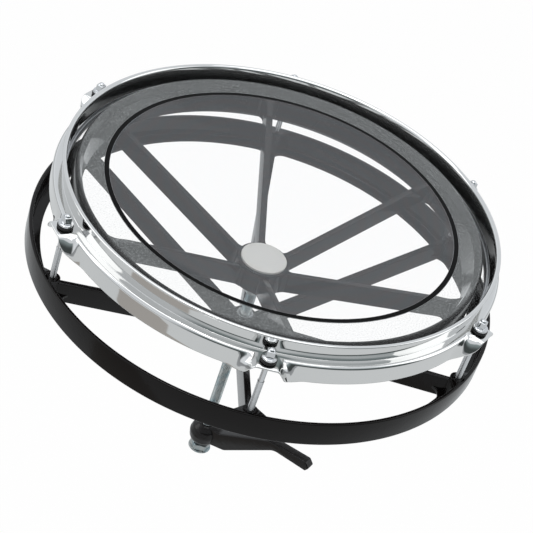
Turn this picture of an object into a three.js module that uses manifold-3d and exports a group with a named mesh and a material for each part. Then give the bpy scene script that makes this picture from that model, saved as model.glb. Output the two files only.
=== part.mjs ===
// Rototom: a tunable drum whose head and dished frame turn on a threaded post,
// while a second dished frame below pulls the hoop down as it climbs the thread.
// Lengths are millimetres, angles are degrees, and +Z points up through the head.
// The origin is the centre of the post's foot.
import * as THREE from "three";
import { mergeVertices } from "three/addons/utils/BufferGeometryUtils.js";
import Module from "manifold-3d";

// Shares of a size, with no length of their own
const domeTopShare = 0.45;
const domeMidShare = 0.8;
const halfShare = 0.5;
const crowdingPower = 1.6;

// Shared sizes
const playHeight = 302;
const headRadius = 174.9;
const seatGap = 0.3;
const armCount = 6;
const sectorAngle = 360 / armCount;

// Threaded post
const postRadius = 4.76;
const postChamfer = 0.9;
const postBore = postRadius + seatGap;

// Upper cast frame, which carries the head
const upperTurn = 6.37;
const upperRingWall = 3.4;
const upperRingOuter = headRadius + 2.5;
const upperRingInner = upperRingOuter - upperRingWall;
const upperRingBottomDrop = 34;
const bearingCrestRadius = headRadius - seatGap;
const bearingCrestDrop = 0.95;
const bearingInnerDrop = 1.7;
const bearingOuterDrop = 3.9;
const upperArmHalfWidth = 2.9;
const upperRingCorner = 11;
const upperHubCorner = 6;
const upperHubRadius = 23.4;
const upperHubTopDrop = 66.5;
const upperHubHeight = 21.9;
const upperHubBottomDrop = upperHubTopDrop + upperHubHeight;
const upperHubEdge = 1.4;
const upperArmTopRimDrop = 5.6;
const upperArmBottomRimDrop = 23.8;
const upperArmTopAxisDrop = upperHubTopDrop + 11.3;
const upperArmBottomAxisDrop = upperArmTopAxisDrop + 19.8;
const capSeatRadius = 20.7;
const capSeatDepth = 0.9;
const capPocketRadius = 12.5;
const capPocketDepth = 9;

// Bush in the upper hub and cap over it
const bushRadius = 8.2;
const bushFlangeRadius = 11;
const bushFlangeThickness = 1.9;
const bushTopDrop = upperHubTopDrop + capPocketDepth + seatGap;
const capRadius = capSeatRadius - seatGap;
const capStandOut = 1.8;
const capEdge = 0.5;

// Retaining ring in its groove at the top of the post
const retainerRadius = 7.6;
const retainerThickness = 1.3;
const retainerGrooveDepth = 0.7;
const retainerGapAngle = 34;
const postTopAboveRetainer = 2.2;

// Washer and nut under the upper hub
const thrustWasherRadius = 9;
const thrustWasherThickness = 1.5;
const shoulderNutHeight = 9.7;
const shoulderNutAcrossFlats = 16.4;
const nutChamfer = 0.9;

// Hardware at the foot of the post, from the foot up
const flangeNutRise = 3.4;
const flangeNutHexHeight = 6.4;
const flangeNutAcrossFlats = 17.6;
const flangeNutRimRadius = 10.9;
const flangeNutRimHeight = 1.9;
const spacerRadius = 8.4;
const spacerTopRadius = 7.2;
const spacerThickness = 2.7;

// Clamping lever, with its outline in heights above the hub's foot
const leverAzimuth = -60;
const leverHubHeight = 20.4;
const leverHubRadius = 14;
const leverHubFootRadius = 11.4;
const leverHubCrownRadius = 8.2;
const leverHubShoulderRadius = 12.2;
const leverHubShoulderRise = 15.6;
const leverHubCrownRise = 19.6;
const leverHubWaistRise = 3.2;
const leverHubWideRise = 9.6;
const leverWidth = 9.8;
const leverEdgeRound = 1.1;
const leverNeckReach = 18;
const leverNeckTopRise = 18.6;
const leverElbowReach = 65;
const leverElbowTopRise = 48.8;
const leverTipReach = 105.2;
const leverTipTopRise = 52;
const leverNoseReach = 109.8;
const leverNoseRise = 47;
const leverTipLowReach = 107.2;
const leverTipLowRise = 42.7;
const leverHeelReach = 72.5;
const leverHeelRise = 41.9;
const leverBellyReach = 26.4;
const leverBellyRise = 5.6;
const leverRootReach = 13.4;
const leverRootRise = 2.4;

// Head film with its formed collar
const filmThickness = 0.6;
const collarBendRadius = headRadius + 2.8;
const collarBendDrop = 1.1;
const collarSlopeRadius = headRadius + 5.2;
const collarSlopeDrop = 4.6;
const collarLowRadius = headRadius + 7;
const collarLowDrop = 11;
const collarEndRadius = headRadius + 7.9;
const collarEndDrop = 18;

// Pressed steel hoop with a rolled lip, a flange, a skirt and six drawn ears
const hoopBandInner = headRadius + 10.1;
const hoopSheet = 1.9;
const hoopLipRadius = hoopBandInner + 5;
const hoopLipTopRise = 7.3;
const hoopLipShoulderRadius = hoopBandInner + 4.3;
const hoopLipShoulderRise = 7.1;
const hoopLipEdgeHighRise = 6.5;
const hoopLipEdgeLowRise = 4.6;
const hoopCrestRadius = hoopBandInner + 2.2;
const hoopCrestInnerRadius = hoopBandInner + 0.6;
const hoopCrestInnerRise = 6.6;
const hoopBandTopRise = 5;
const hoopLipUnderRadius = hoopBandInner + 2.9;
const hoopLipUnderRise = 4.2;
const hoopBandOuterRise = 3.2;
const hoopFilletDrop = 7.6;
const hoopFilletMidRadius = hoopBandInner + 2.4;
const hoopFilletMidDrop = 9.2;
const hoopFlangeRadius = hoopBandInner + 3.6;
const hoopFlangeDrop = 10;
const hoopBendRadius = hoopBandInner + 7.8;
const hoopBendDrop = 10.4;
const hoopBendMidRadius = hoopBandInner + 9.4;
const hoopBendMidDrop = 11.3;
const hoopSkirtRadius = hoopBandInner + 10;
const hoopSkirtTopDrop = 13.2;
const hoopSkirtBottomDrop = 27.5;
const earReach = 12.8;
const earTipHalf = 4.4;
const earBaseHalf = 20.5;
const earSkirtRise = 10.5;
const earSkirtBaseHalf = 24;
const earHole = 3;
const notchRadius = 1.7;
const notchLength = 7;
const notchOffset = 16.4;
const notchDrop = 14.6;

// Flesh hoop under the flange
const fleshInner = collarEndRadius + 0.8;
const fleshOuter = hoopSkirtRadius - hoopSheet - 1.1;
const fleshHeight = 7.6;
const fleshEdge = 0.8;

// Tension rods and their washers
const rodCircle = hoopSkirtRadius + 3.2;
const rodShankRadius = 2.35;
const rodThreadRadius = 2.75;
const rodShankLength = 21;
const rodEdge = 0.6;
const rodCollarRadius = 5.8;
const rodCollarHeight = 1.9;
const rodCollarCrown = 0.6;
const rodSquareWidth = 6.35;
const rodSquareHeight = 5.8;
const rodSquareCorner = 0.7;
const rodDomeHeight = 1.9;
const washerRadius = 6.4;
const washerThickness = 2.4;
const washerGroove = 0.35;

// Lower cast frame, which carries the tension rods
const lowerRingWall = 3.2;
const lowerRingInner = rodCircle + 3.6;
const lowerRingOuter = lowerRingInner + lowerRingWall;
const lowerRingTopDrop = 61.6;
const lowerRingHeight = 22.4;
const lowerRingBottomDrop = lowerRingTopDrop + lowerRingHeight;
const lowerRingEdge = 1;
const lowerFlangeWidth = 9.8;
const lowerFlangeThickness = 3;
const lowerFlangeInner = lowerRingInner - lowerFlangeWidth;
const rodBottomDrop = lowerRingBottomDrop - 4.5;
const lowerArmHalfWidth = 2.9;
const lowerRingCorner = 11;
const lowerHubCorner = 2;
const lowerNeckRadius = 10.5;
const lowerNeckTopDrop = 129.2;
const lowerHubRadius = 19.4;
const lowerHubTopDrop = lowerNeckTopDrop + 8.8;
const lowerHubBottomDrop = lowerHubTopDrop + 13;
const lowerHubEdge = 1.2;
const lowerArmTopRimDrop = lowerRingTopDrop + 1.9;
const lowerArmBottomRimDrop = lowerRingBottomDrop - 1.9;
const lowerArmTopAxisDrop = lowerNeckTopDrop + 6.3;
const lowerArmBottomAxisDrop = lowerArmTopAxisDrop + 21.7;
const insertRadius = 7.4;
const insertStandOut = 0.8;
const bossRadius = 6.5;
const bossHole = 3.2;

// Facet counts
const ringSegments = 84;
const armSegments = 48;
const cornerSegments = 3;
const smallSegments = 24;
const rodSegments = 14;
const notchSegments = 8;
const hoopSectorSegments = 16;

const wasm = await Module();
wasm.setup();

// Angle in radians.
function rad(degrees) {
  return THREE.MathUtils.degToRad(degrees);
}

// Height of a level given as its drop below the playing surface.
function below(drop) {
  return playHeight - drop;
}

// Height of a level given as its rise above the playing surface.
function above(rise) {
  return playHeight + rise;
}

// Point of a revolved outline: radius and height.
function at(radius, height) {
  return new THREE.Vector2(radius, height);
}

// Solid body of a closed geometry.
function solid(geometry) {
  const bare = new THREE.BufferGeometry();
  const loose = geometry.index ? geometry.toNonIndexed() : geometry;
  bare.setAttribute("position", loose.getAttribute("position"));
  const merged = mergeVertices(bare, 1e-4);
  const corners = merged.index.array;
  const kept = [];
  for (let i = 0; i < corners.length; i += 3) {
    const [a, b, c] = [corners[i], corners[i + 1], corners[i + 2]];
    if (a !== b && b !== c && c !== a) kept.push(a, b, c);
  }
  const mesh = new wasm.Mesh({
    numProp: 3,
    vertProperties: new Float32Array(merged.attributes.position.array),
    triVerts: new Uint32Array(kept),
  });
  return new wasm.Manifold(mesh);
}

// Geometry of a solid body.
function geometryOf(body) {
  const mesh = body.getMesh();
  const geometry = new THREE.BufferGeometry();
  const values = new Float32Array(mesh.numVert * 3);
  for (let i = 0; i < mesh.numVert; i += 1) {
    for (let k = 0; k < 3; k += 1) {
      values[3 * i + k] = mesh.vertProperties[mesh.numProp * i + k];
    }
  }
  geometry.setAttribute("position", new THREE.BufferAttribute(values, 3));
  geometry.setIndex(new THREE.BufferAttribute(new Uint32Array(mesh.triVerts), 1));
  return geometry;
}

// Geometry of an outline turned about Z; an outline off the axis is closed on itself.
function revolvedGeometry(outline, segments) {
  const points = THREE.ShapeUtils.area(outline) > 0 ? outline.slice() : outline.slice().reverse();
  const onAxis = points.some((point) => point.x === 0);
  if (!onAxis) points.push(points[0].clone());
  const turned = onAxis ? startOnAxis(points) : points;
  return new THREE.LatheGeometry(turned, segments).rotateX(rad(90));
}

// The same outline, starting and ending on the axis.
function startOnAxis(points) {
  const count = points.length;
  const start = points.findIndex((point, i) => point.x === 0 && points[(i + count - 1) % count].x === 0);
  return points.slice(start).concat(points.slice(0, start));
}

// Solid body of an outline turned about Z.
function revolved(outline, segments) {
  return solid(revolvedGeometry(outline, segments));
}

// Solid cylinder about Z between two heights.
function cylinder(radius, low, high, segments) {
  return revolved([at(0, low), at(radius, low), at(radius, high), at(0, high)], segments);
}

// Solid body of a flat shape raised between two heights.
function raised(shape, low, high, curveSegments) {
  const settings = { depth: high - low, bevelEnabled: false, curveSegments };
  return solid(new THREE.ExtrudeGeometry(shape, settings).translate(0, 0, low));
}

// The body turned about Z.
function turned(body, angle) {
  return body.rotate([0, 0, angle]);
}

// Union of one body per arm, each turned into its sector.
function aroundArms(body, firstAngle) {
  let all = turned(body, firstAngle);
  for (let i = 1; i < armCount; i += 1) {
    all = all.add(turned(body, firstAngle + i * sectorAngle));
  }
  return all;
}

// Window between two neighbouring arms, with rounded corners at ring and hub.
function windowShape(halfWidth, ringRadius, ringCorner, hubRadius, hubCorner) {
  const sector = rad(sectorAngle);
  const quarter = rad(90);
  const outerReach = ringRadius - ringCorner;
  const outerAngle = Math.asin((halfWidth + ringCorner) / outerReach);
  const innerReach = hubRadius + hubCorner;
  const innerAngle = Math.asin((halfWidth + hubCorner) / innerReach);
  const centre = (reach, angle) => [reach * Math.cos(angle), reach * Math.sin(angle)];
  const shape = new THREE.Shape();
  shape.absarc(...centre(outerReach, outerAngle), ringCorner, -quarter, outerAngle, false);
  shape.absarc(0, 0, ringRadius, outerAngle, sector - outerAngle, false);
  const farOuter = centre(outerReach, sector - outerAngle);
  shape.absarc(...farOuter, ringCorner, sector - outerAngle, sector + quarter, false);
  const farInner = centre(innerReach, sector - innerAngle);
  const half = rad(180);
  shape.absarc(...farInner, hubCorner, sector + quarter, sector - innerAngle + half, false);
  shape.absarc(0, 0, hubRadius, sector - innerAngle, innerAngle, true);
  const nearInner = centre(innerReach, innerAngle);
  shape.absarc(...nearInner, hubCorner, innerAngle + half, half + quarter, false);
  shape.closePath();
  return shape;
}

// Dished plate of six arms between two cones, with its windows cut out.
function dishedArms(plate) {
  const rim = plate.rimRadius;
  const rimTop = below(plate.topRimDrop);
  const floor = below(plate.floorDrop);
  const floorShare = (plate.bottomAxisDrop - plate.floorDrop) / (plate.bottomAxisDrop - plate.bottomRimDrop);
  const outline = [
    at(0, floor),
    at(rim * floorShare, floor),
    at(rim, below(plate.bottomRimDrop)),
    at(rim, rimTop),
    at(0, below(plate.topAxisDrop)),
  ];
  const dish = revolved(outline, armSegments);
  const { halfWidth, ringCorner, hubRadius, hubCorner } = plate;
  const shape = windowShape(halfWidth, rim, ringCorner, hubRadius, hubCorner);
  const opening = raised(shape, floor - rim, rimTop + rim, cornerSegments);
  return dish.subtract(aroundArms(opening, 0));
}

// Upper frame: bearing-edge ring, dished arms and hub.
function upperFrame() {
  const rim = (upperRingInner + upperRingOuter) * halfShare;
  const arms = dishedArms({
    topAxisDrop: upperArmTopAxisDrop,
    topRimDrop: upperArmTopRimDrop,
    bottomAxisDrop: upperArmBottomAxisDrop,
    bottomRimDrop: upperArmBottomRimDrop,
    floorDrop: upperHubBottomDrop,
    rimRadius: rim,
    halfWidth: upperArmHalfWidth,
    ringCorner: upperRingCorner,
    hubRadius: upperHubRadius,
    hubCorner: upperHubCorner,
  });
  const ring = revolved(
    [
      at(upperRingInner, below(upperRingBottomDrop)),
      at(upperRingOuter, below(upperRingBottomDrop)),
      at(upperRingOuter, below(bearingOuterDrop)),
      at(bearingCrestRadius, below(bearingCrestDrop)),
      at(upperRingInner, below(bearingInnerDrop)),
    ],
    ringSegments,
  );
  const hubTop = below(upperHubTopDrop);
  const hubBottom = below(upperHubBottomDrop);
  const hub = revolved(
    [
      at(0, hubBottom),
      at(upperHubRadius - upperHubEdge, hubBottom),
      at(upperHubRadius, hubBottom + upperHubEdge),
      at(upperHubRadius, hubTop - upperHubEdge),
      at(upperHubRadius - upperHubEdge, hubTop),
      at(0, hubTop),
    ],
    armSegments,
  );
  const seatFloor = hubTop - capSeatDepth;
  const pocketFloor = hubTop - capPocketDepth;
  const clear = hubTop + capPocketDepth;
  const seat = cylinder(capSeatRadius, seatFloor, clear, armSegments);
  const pocket = cylinder(capPocketRadius, pocketFloor, clear, smallSegments);
  const bore = cylinder(bushRadius + seatGap, hubBottom - capPocketDepth, clear, smallSegments);
  const cut = seat.add(pocket).add(bore);
  return turned(arms.add(ring).add(hub).subtract(cut), upperTurn);
}

// Flanged bush in the upper hub, turning on the post.
function thrustBush() {
  const flangeBottom = bushFoot();
  const flangeTop = flangeBottom + bushFlangeThickness;
  return revolved(
    [
      at(postBore, flangeBottom),
      at(bushFlangeRadius, flangeBottom),
      at(bushFlangeRadius, flangeTop),
      at(bushRadius, flangeTop),
      at(bushRadius, below(bushTopDrop)),
      at(postBore, below(bushTopDrop)),
    ],
    smallSegments,
  );
}

// Disc that closes the hub from above.
function hubCap() {
  const top = below(upperHubTopDrop) + capStandOut;
  const bottom = below(upperHubTopDrop + capSeatDepth) + seatGap;
  return revolved(
    [
      at(0, bottom),
      at(capRadius, bottom),
      at(capRadius, top - capEdge),
      at(capRadius - capEdge, top),
      at(0, top),
    ],
    armSegments,
  );
}

// Threaded post with chamfered ends and a groove for its retaining ring.
function centerPost() {
  const retainerBottom = below(bushTopDrop) + seatGap;
  const top = retainerBottom + retainerThickness + postTopAboveRetainer;
  const grooveLow = retainerBottom - seatGap * halfShare;
  const grooveHigh = retainerBottom + retainerThickness + seatGap * halfShare;
  const grooveRadius = postRadius - retainerGrooveDepth - seatGap * halfShare;
  return revolved(
    [
      at(0, 0),
      at(postRadius - postChamfer, 0),
      at(postRadius, postChamfer),
      at(postRadius, grooveLow),
      at(grooveRadius, grooveLow),
      at(grooveRadius, grooveHigh),
      at(postRadius, grooveHigh),
      at(postRadius, top - postChamfer),
      at(postRadius - postChamfer, top),
      at(0, top),
    ],
    smallSegments,
  );
}

// Split ring that keeps the upper frame on the post.
function retainingRing() {
  const low = below(bushTopDrop) + seatGap;
  const inner = postRadius - retainerGrooveDepth + seatGap * halfShare;
  const gap = rad(retainerGapAngle * halfShare);
  const shape = new THREE.Shape();
  shape.absarc(0, 0, retainerRadius, gap, rad(360) - gap, false);
  shape.absarc(0, 0, inner, rad(360) - gap, gap, true);
  shape.closePath();
  return raised(shape, low, low + retainerThickness, smallSegments * halfShare);
}

// Regular hexagon with a round hole.
function hexagonShape(acrossFlats, holeRadius) {
  const cornerRadius = (acrossFlats * halfShare) / Math.cos(rad(30));
  const shape = new THREE.Shape();
  for (let i = 0; i < 6; i += 1) {
    const angle = rad(60 * i);
    const corner = [cornerRadius * Math.cos(angle), cornerRadius * Math.sin(angle)];
    if (i === 0) shape.moveTo(...corner);
    else shape.lineTo(...corner);
  }
  shape.closePath();
  const hole = new THREE.Path();
  hole.absarc(0, 0, holeRadius, 0, rad(360), true);
  shape.holes.push(hole);
  return shape;
}

// Hexagonal nut with its corners chamfered at both ends.
function hexNut(acrossFlats, low, high) {
  const body = raised(hexagonShape(acrossFlats, postBore), low, high, smallSegments * halfShare);
  const flatRadius = acrossFlats * halfShare;
  const wide = flatRadius + nutChamfer + nutChamfer;
  const rise = nutChamfer;
  const limits = revolved(
    [
      at(0, low),
      at(flatRadius, low),
      at(wide, low + rise),
      at(wide, high - rise),
      at(flatRadius, high),
      at(0, high),
    ],
    smallSegments,
  );
  return body.intersect(limits);
}

// Underside of the bush's flange, which rests on the thrust washer.
function bushFoot() {
  return below(upperHubBottomDrop) - seatGap - bushFlangeThickness;
}

// Nut fixed on the post, on which the upper frame bears.
function shoulderNut() {
  const top = bushFoot() - seatGap - thrustWasherThickness - seatGap;
  return hexNut(shoulderNutAcrossFlats, top - shoulderNutHeight, top);
}

// Washer between the shoulder nut and the bush.
function thrustWasher() {
  const high = bushFoot() - seatGap;
  const low = high - thrustWasherThickness;
  const outline = [
    at(postBore, low),
    at(thrustWasherRadius, low),
    at(thrustWasherRadius, high),
    at(postBore, high),
  ];
  return revolved(outline, smallSegments);
}

// Hexagonal nut with a round rim below, at the foot of the post.
function flangeNut() {
  const bottom = flangeNutRise;
  const rimTop = bottom + flangeNutRimHeight;
  const rimMid = bottom + flangeNutRimHeight * halfShare;
  const hex = hexNut(flangeNutAcrossFlats, rimMid, rimTop + flangeNutHexHeight);
  const rim = revolved(
    [
      at(postBore, bottom),
      at(flangeNutRimRadius - flangeNutRimHeight * halfShare, bottom),
      at(flangeNutRimRadius, rimMid),
      at(flangeNutAcrossFlats * halfShare, rimTop),
      at(postBore, rimTop),
    ],
    smallSegments,
  );
  return hex.add(rim);
}

// Stepped spacer between the lever hub and the flange nut.
function spacerWasher() {
  const low = flangeNutRise + flangeNutRimHeight + flangeNutHexHeight + seatGap;
  const high = low + spacerThickness;
  const step = low + spacerThickness * halfShare;
  const outline = [
    at(postBore, low),
    at(spacerRadius, low),
    at(spacerRadius, step),
    at(spacerTopRadius, high),
    at(postBore, high),
  ];
  return revolved(outline, smallSegments);
}

// Clamping lever: domed hub, rising arm and level grip.
function clampLever() {
  const spacerLow = flangeNutRise + flangeNutRimHeight + flangeNutHexHeight + seatGap;
  const foot = spacerLow + spacerThickness + seatGap;
  const hub = revolved(
    [
      at(0, foot),
      at(leverHubFootRadius, foot),
      at(leverHubRadius - leverEdgeRound, foot + leverHubWaistRise),
      at(leverHubRadius, foot + leverHubWideRise),
      at(leverHubShoulderRadius, foot + leverHubShoulderRise),
      at(leverHubCrownRadius, foot + leverHubCrownRise),
      at(leverHubCrownRadius - leverEdgeRound, foot + leverHubHeight),
      at(0, foot + leverHubHeight),
    ],
    smallSegments,
  );
  const inset = leverEdgeRound;
  const side = new THREE.Shape([
    at(0, foot + leverRootRise + inset),
    at(leverRootReach, foot + leverRootRise + inset),
    at(leverBellyReach, foot + leverBellyRise + inset),
    at(leverHeelReach, foot + leverHeelRise + inset),
    at(leverTipLowReach - inset, foot + leverTipLowRise + inset),
    at(leverNoseReach - inset, foot + leverNoseRise),
    at(leverTipReach - inset, foot + leverTipTopRise - inset),
    at(leverElbowReach, foot + leverElbowTopRise - inset),
    at(leverNeckReach, foot + leverNeckTopRise - inset),
    at(0, foot + leverNeckTopRise - inset),
  ]);
  const arm = new THREE.ExtrudeGeometry(side, {
    depth: leverWidth - 2 * leverEdgeRound,
    bevelEnabled: true,
    bevelThickness: leverEdgeRound,
    bevelSize: leverEdgeRound,
    bevelSegments: 2,
  });
  arm.translate(0, 0, leverEdgeRound - leverWidth * halfShare);
  arm.rotateX(rad(90));
  const bore = cylinder(postBore, foot - postBore, foot + leverHubHeight + postBore, smallSegments);
  return turned(hub.add(solid(arm)).subtract(bore), leverAzimuth);
}

// Flat flange inside the lower ring's bottom edge, rounded off where it meets the arms.
function lowerFlange(rim) {
  const bottom = below(lowerRingBottomDrop);
  const top = bottom + lowerFlangeThickness;
  const reach = lowerFlangeInner - lowerRingCorner - lowerRingWall;
  const outline = [at(reach, bottom), at(rim, bottom), at(rim, top), at(reach, top)];
  const halfWidth = lowerArmHalfWidth - seatGap;
  const shape = windowShape(halfWidth, lowerFlangeInner, lowerRingCorner, lowerNeckRadius, lowerHubCorner);
  const opening = raised(shape, bottom - rim, top + rim, cornerSegments);
  return revolved(outline, armSegments).subtract(aroundArms(opening, 0));
}

// Lower frame: flanged outer ring, dished arms, rod bosses, hub plate and raised neck.
function lowerFrame() {
  const rim = (lowerRingInner + lowerRingOuter) * halfShare;
  const arms = dishedArms({
    topAxisDrop: lowerArmTopAxisDrop,
    topRimDrop: lowerArmTopRimDrop,
    bottomAxisDrop: lowerArmBottomAxisDrop,
    bottomRimDrop: lowerArmBottomRimDrop,
    floorDrop: lowerHubBottomDrop,
    rimRadius: rim,
    halfWidth: lowerArmHalfWidth,
    ringCorner: lowerRingCorner,
    hubRadius: lowerNeckRadius,
    hubCorner: lowerHubCorner,
  });
  const ringTop = below(lowerRingTopDrop);
  const ringBottom = below(lowerRingBottomDrop);
  const ring = revolved(
    [
      at(lowerRingInner, ringBottom),
      at(lowerRingOuter - lowerRingEdge, ringBottom),
      at(lowerRingOuter, ringBottom + lowerRingEdge),
      at(lowerRingOuter, ringTop - lowerRingEdge),
      at(lowerRingOuter - lowerRingEdge, ringTop),
      at(lowerRingInner, ringTop),
    ],
    ringSegments,
  );
  const hubBottom = below(lowerHubBottomDrop);
  const hubTop = below(lowerHubTopDrop);
  const neckTop = below(lowerNeckTopDrop);
  const hub = revolved(
    [
      at(0, hubBottom),
      at(lowerHubRadius - lowerHubEdge, hubBottom),
      at(lowerHubRadius, hubBottom + lowerHubEdge),
      at(lowerHubRadius, hubTop - lowerHubEdge),
      at(lowerHubRadius - lowerHubEdge, hubTop),
      at(lowerNeckRadius, hubTop),
      at(lowerNeckRadius, neckTop),
      at(0, neckTop),
    ],
    armSegments,
  );
  const boss = cylinder(bossRadius, ringBottom, ringTop, rodSegments).translate([rodCircle, 0, 0]);
  const clear = bossRadius;
  const hole = cylinder(bossHole, ringBottom - clear, ringTop + clear, rodSegments);
  const bore = cylinder(insertRadius + seatGap, hubBottom - clear, neckTop + clear, smallSegments);
  return arms
    .add(lowerFlange(rim))
    .add(ring)
    .add(hub)
    .add(aroundArms(boss, 0))
    .subtract(aroundArms(hole.translate([rodCircle, 0, 0]), 0))
    .subtract(bore);
}

// Threaded insert in the lower hub, climbing the post.
function threadInsert() {
  const low = below(lowerHubBottomDrop);
  const high = below(lowerNeckTopDrop) + insertStandOut;
  const outline = [
    at(postBore, low),
    at(insertRadius, low),
    at(insertRadius, high),
    at(postBore, high),
  ];
  return revolved(outline, smallSegments);
}

// Head: flat film whose formed collar bends down over the bearing edge.
function headFilm() {
  const t = filmThickness;
  return revolved(
    [
      at(0, playHeight - t),
      at(headRadius - t * halfShare, playHeight - t),
      at(collarBendRadius - t, below(collarBendDrop) - t),
      at(collarSlopeRadius - t, below(collarSlopeDrop) - t * halfShare),
      at(collarLowRadius - t, below(collarLowDrop)),
      at(collarEndRadius - t, below(collarEndDrop)),
      at(collarEndRadius, below(collarEndDrop)),
      at(collarLowRadius, below(collarLowDrop)),
      at(collarSlopeRadius, below(collarSlopeDrop)),
      at(collarBendRadius, below(collarBendDrop)),
      at(headRadius, playHeight),
      at(0, playHeight),
    ],
    ringSegments,
  );
}

// Channel ring that grips the film and lies under the hoop's flange.
function fleshHoop() {
  const top = below(hoopBendDrop) - hoopSheet - seatGap;
  const bottom = top - fleshHeight;
  return revolved(
    [
      at(fleshInner, bottom + fleshEdge),
      at(fleshInner + fleshEdge, bottom),
      at(fleshOuter - fleshEdge, bottom),
      at(fleshOuter, bottom + fleshEdge),
      at(fleshOuter, top - fleshEdge),
      at(fleshOuter - fleshEdge, top),
      at(fleshInner, top),
    ],
    armSegments,
  );
}

// Plain section of the pressed hoop, before its ears are drawn out.
function hoopOutline() {
  const t = hoopSheet;
  return [
    at(hoopBandInner, above(hoopBandTopRise)),
    at(hoopBandInner, below(hoopFilletDrop)),
    at(hoopFilletMidRadius - t, below(hoopFilletMidDrop) - t * halfShare),
    at(hoopFlangeRadius - t * halfShare, below(hoopFlangeDrop) - t),
    at(hoopBendRadius - t * halfShare, below(hoopBendDrop) - t),
    at(hoopSkirtRadius - t, below(hoopSkirtTopDrop) - t * halfShare),
    at(hoopSkirtRadius - t, below(hoopSkirtBottomDrop)),
    at(hoopSkirtRadius, below(hoopSkirtBottomDrop)),
    at(hoopSkirtRadius, below(hoopSkirtTopDrop)),
    at(hoopBendMidRadius, below(hoopBendMidDrop)),
    at(hoopBendRadius, below(hoopBendDrop)),
    at(hoopFlangeRadius, below(hoopFlangeDrop)),
    at(hoopFilletMidRadius, below(hoopFilletMidDrop)),
    at(hoopBandInner + t, below(hoopFilletDrop)),
    at(hoopBandInner + t, above(hoopBandOuterRise)),
    at(hoopLipUnderRadius, above(hoopLipUnderRise)),
    at(hoopLipRadius, above(hoopLipEdgeLowRise)),
    at(hoopLipRadius, above(hoopLipEdgeHighRise)),
    at(hoopLipShoulderRadius, above(hoopLipShoulderRise)),
    at(hoopCrestRadius, above(hoopLipTopRise)),
    at(hoopCrestInnerRadius, above(hoopCrestInnerRise)),
  ];
}

// Share of the flare at a distance along the rim from the rod: whole at the tip, none beyond the base.
function flareShare(distance, tipHalf, baseHalf) {
  const share = (baseHalf - Math.abs(distance)) / (baseHalf - tipHalf);
  return THREE.MathUtils.clamp(share, 0, 1);
}

// Hoop: the plain section turned round, drawn out into an ear at each rod, then pierced and notched.
function counterHoop() {
  const count = armCount * hoopSectorSegments;
  const geometry = revolvedGeometry(hoopOutline(), count);
  const position = geometry.getAttribute("position");
  for (let i = 0; i < position.count; i += 1) {
    const place = drawnPoint(position.getX(i), position.getY(i), position.getZ(i), count);
    position.setXYZ(i, ...place);
  }
  const wall = 2 * notchRadius;
  const top = below(hoopFlangeDrop);
  const hole = cylinder(earHole, top - wall * 2, top + wall, rodSegments);
  const holes = aroundArms(hole.translate([rodCircle, 0, 0]), 0);
  const left = aroundArms(notchCutter(1), 0);
  const right = aroundArms(notchCutter(-1), 0);
  return solid(geometry).subtract(holes).subtract(left).subtract(right);
}

// Place of a hoop point after its facet is shifted towards the nearest rod and its ear is drawn out.
function drawnPoint(x, y, z, count) {
  const radius = Math.hypot(x, y);
  const turn = (Math.atan2(y, x) / rad(360) + 1) * count;
  const index = Math.round(turn);
  const sectorIndex = Math.round(index / hoopSectorSegments);
  const step = index / hoopSectorSegments - sectorIndex;
  const spread = Math.sign(step) * halfShare * Math.abs(2 * step) ** crowdingPower;
  const fromRod = rad(sectorAngle * spread);
  const angle = rad(sectorAngle * sectorIndex) + fromRod;
  const distance = radius * Math.sin(fromRod);
  const flare = earReach * flareShare(distance, earTipHalf, earBaseHalf);
  const outward = THREE.MathUtils.smoothstep(radius, hoopFlangeRadius, hoopBendRadius - hoopSheet);
  const lift = earSkirtRise * flareShare(distance, earTipHalf, earSkirtBaseHalf);
  const depth = below(hoopSkirtTopDrop) - z;
  const skirt = THREE.MathUtils.clamp(depth / (hoopSkirtBottomDrop - hoopSkirtTopDrop), 0, 1);
  const reach = radius + flare * outward;
  return [reach * Math.cos(angle), reach * Math.sin(angle), z + lift * skirt];
}

// Cutter for the relief notch beside an ear, on one side of the rod.
function notchCutter(side) {
  const long = notchLength;
  const geometry = new THREE.CylinderGeometry(notchRadius, notchRadius, long * 2, notchSegments);
  geometry.rotateZ(rad(90)).scale(1, long / (2 * notchRadius), 1);
  geometry.translate(hoopSkirtRadius, side * notchOffset, below(notchDrop));
  return solid(geometry);
}

// Tension rod: square key head with a domed tip, collar, shank and thread.
function tensionRod() {
  const washerTop = below(hoopFlangeDrop) + seatGap + washerThickness;
  const collarLow = washerTop + seatGap;
  const collarHigh = collarLow + rodCollarHeight;
  const squareTop = collarHigh + rodSquareHeight;
  const halfSquare = rodSquareWidth * halfShare;
  const threadTop = below(hoopFlangeDrop) - rodShankLength;
  const bottom = below(rodBottomDrop);
  const shaft = revolved(
    [
      at(0, bottom),
      at(rodThreadRadius - rodEdge, bottom),
      at(rodThreadRadius, bottom + rodEdge),
      at(rodThreadRadius, threadTop - rodEdge),
      at(rodShankRadius, threadTop),
      at(rodShankRadius, collarLow),
      at(rodCollarRadius, collarLow),
      at(rodCollarRadius, collarHigh - rodCollarCrown),
      at(rodCollarRadius - rodCollarCrown, collarHigh),
      at(halfSquare * domeMidShare, squareTop),
      at(halfSquare * domeMidShare, squareTop + rodDomeHeight * halfShare),
      at(halfSquare * domeTopShare, squareTop + rodDomeHeight),
      at(0, squareTop + rodDomeHeight),
    ],
    rodSegments,
  );
  const inset = halfSquare - rodSquareCorner;
  const square = new THREE.Shape([
    at(halfSquare, -inset),
    at(halfSquare, inset),
    at(inset, halfSquare),
    at(-inset, halfSquare),
    at(-halfSquare, inset),
    at(-halfSquare, -inset),
    at(-inset, -halfSquare),
    at(inset, -halfSquare),
  ]);
  const low = collarHigh - rodCollarCrown;
  return shaft.add(raised(square, low, squareTop, 1)).translate([rodCircle, 0, 0]);
}

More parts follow.
